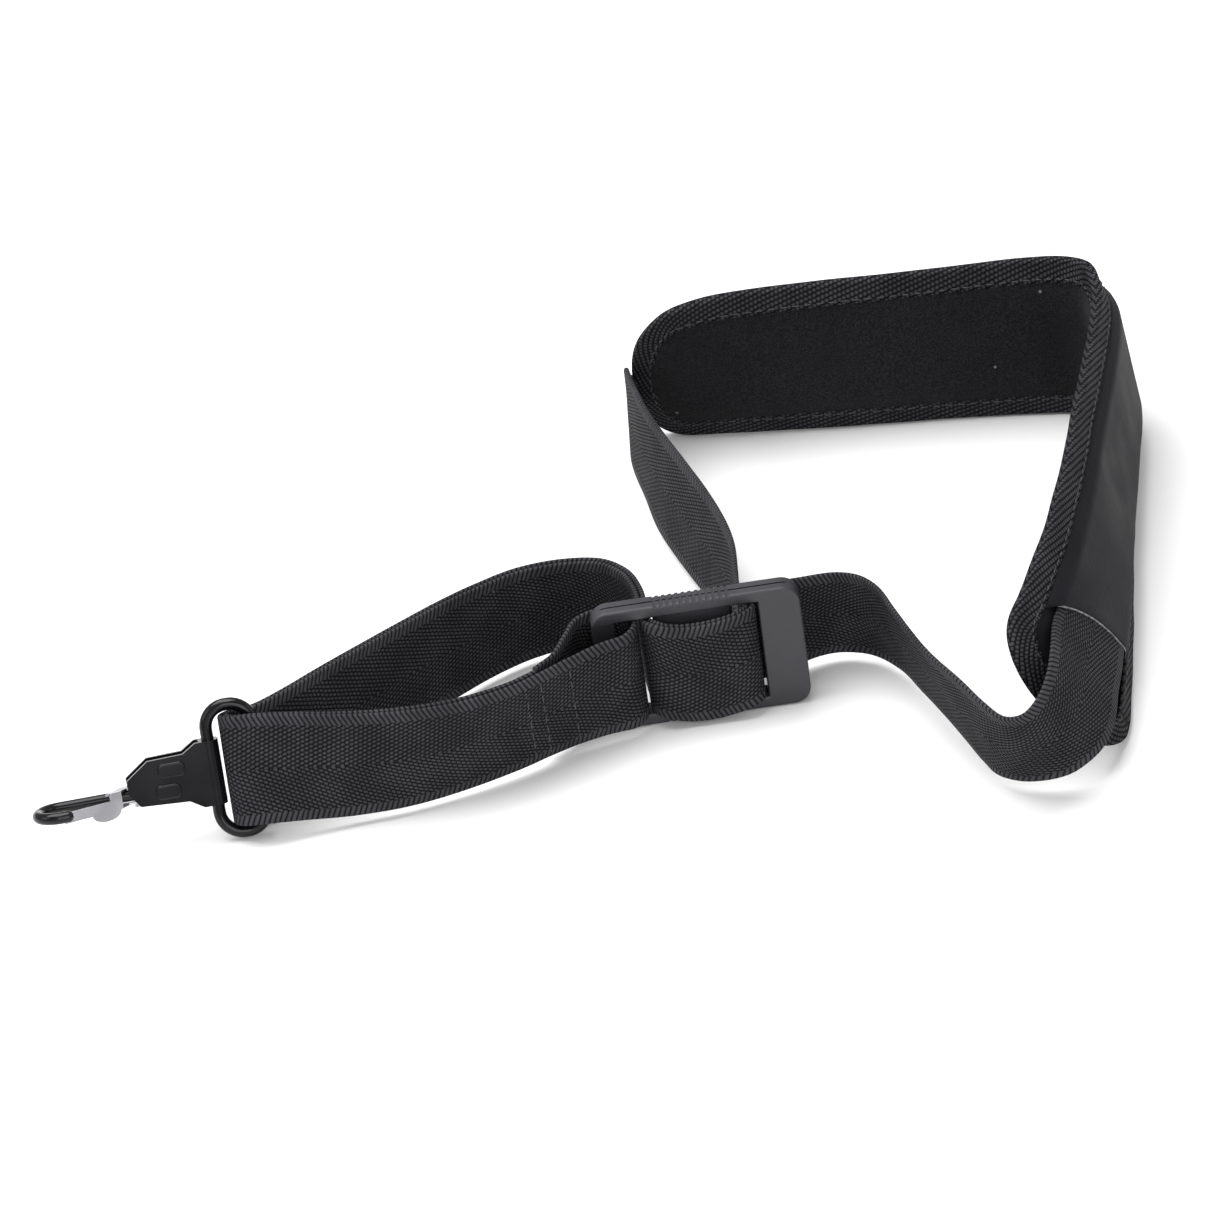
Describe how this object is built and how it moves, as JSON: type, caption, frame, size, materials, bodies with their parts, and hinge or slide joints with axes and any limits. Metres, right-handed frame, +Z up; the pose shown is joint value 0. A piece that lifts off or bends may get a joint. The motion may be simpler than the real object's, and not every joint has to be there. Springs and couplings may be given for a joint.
{
  "type": "saxophone neck strap",
  "caption": "Neck strap with padded neck piece, woven webbing, moulded length slider, wire ring and snap hook with sprung gate, standing on its edges.",
  "frame": {"origin": "under the middle of the whole strap, on the surface that it stands on", "axes": "+X from the hook towards the padded neck piece, +Z up, the webs standing on edge; the hook end and the slider lie towards -Y"},
  "size_m": [0.2622, 0.1867, 0.0428],
  "materials": {
    "fleece_lining": "napped plush",
    "foam": "open cell foam",
    "pad_leather": "soft satin leatherette",
    "binding_tape": "herringbone tape",
    "webbing": "herringbone webbing",
    "thread": "polyester thread",
    "slider_plastic": "fine matt moulding",
    "black_enamel": "gloss enamel",
    "bare_steel": "bright nickel"
  },
  "bodies": {
    "strap": {"pad_lining": "fleece_lining", "pad_foam": "foam", "pad_cover": "pad_leather", "pad_binding_upper": "binding_tape", "pad_binding_lower": "binding_tape", "web_in_pad": "webbing", "web_left": "webbing", "web_right": "webbing", "lower_web_outer": "webbing", "lower_web_inner": "webbing"},
    "slider": {"slider_frame": "slider_plastic", "tail_web": "webbing", "seam_stitches": "thread"},
    "float_bar": {"slider_bar": "slider_plastic", "bar_web_inner": "webbing", "bar_web_outer": "webbing"},
    "ring": {"ring": "black_enamel"},
    "hook": {"hook_body": "black_enamel", "hook_wire": "black_enamel", "gate_pin": "bare_steel", "gate_spring": "bare_steel"},
    "gate": {"gate": "bare_steel"}
  },
  "joints": [
    {"name": "slider_travel", "type": "slide", "parent": "strap", "child": "slider", "axis": [1, 0, 0], "range_m": [-0.012, 0.006], "deforming": ["lower_web_outer", "lower_web_inner", "web_left", "web_right"]},
    {"name": "bar_float", "type": "slide", "parent": "slider", "child": "float_bar", "axis": [1, 0, 0], "range_m": [-0.0003, 0.0004]},
    {"name": "ring_swing", "type": "hinge", "parent": "strap", "child": "ring", "pos_m": [-0.0816, -0.0521, 0.015], "axis": [0, 0.342, 0.9397], "range_deg": [-55, 55]},
    {"name": "hook_swing", "type": "hinge", "parent": "ring", "child": "hook", "pos_m": [-0.092, -0.0521, 0.015], "axis": [0, 0.342, 0.9397], "range_deg": [-90, 90]},
    {"name": "gate_hinge", "type": "hinge", "parent": "hook", "child": "gate", "pos_m": [-0.10884, -0.05501, 0.01393], "axis": [0, 0.342, 0.9397], "range_deg": [-18, 0], "stiffness_Nm_per_rad": 0.01, "springref_deg": 14.32}
  ]
}
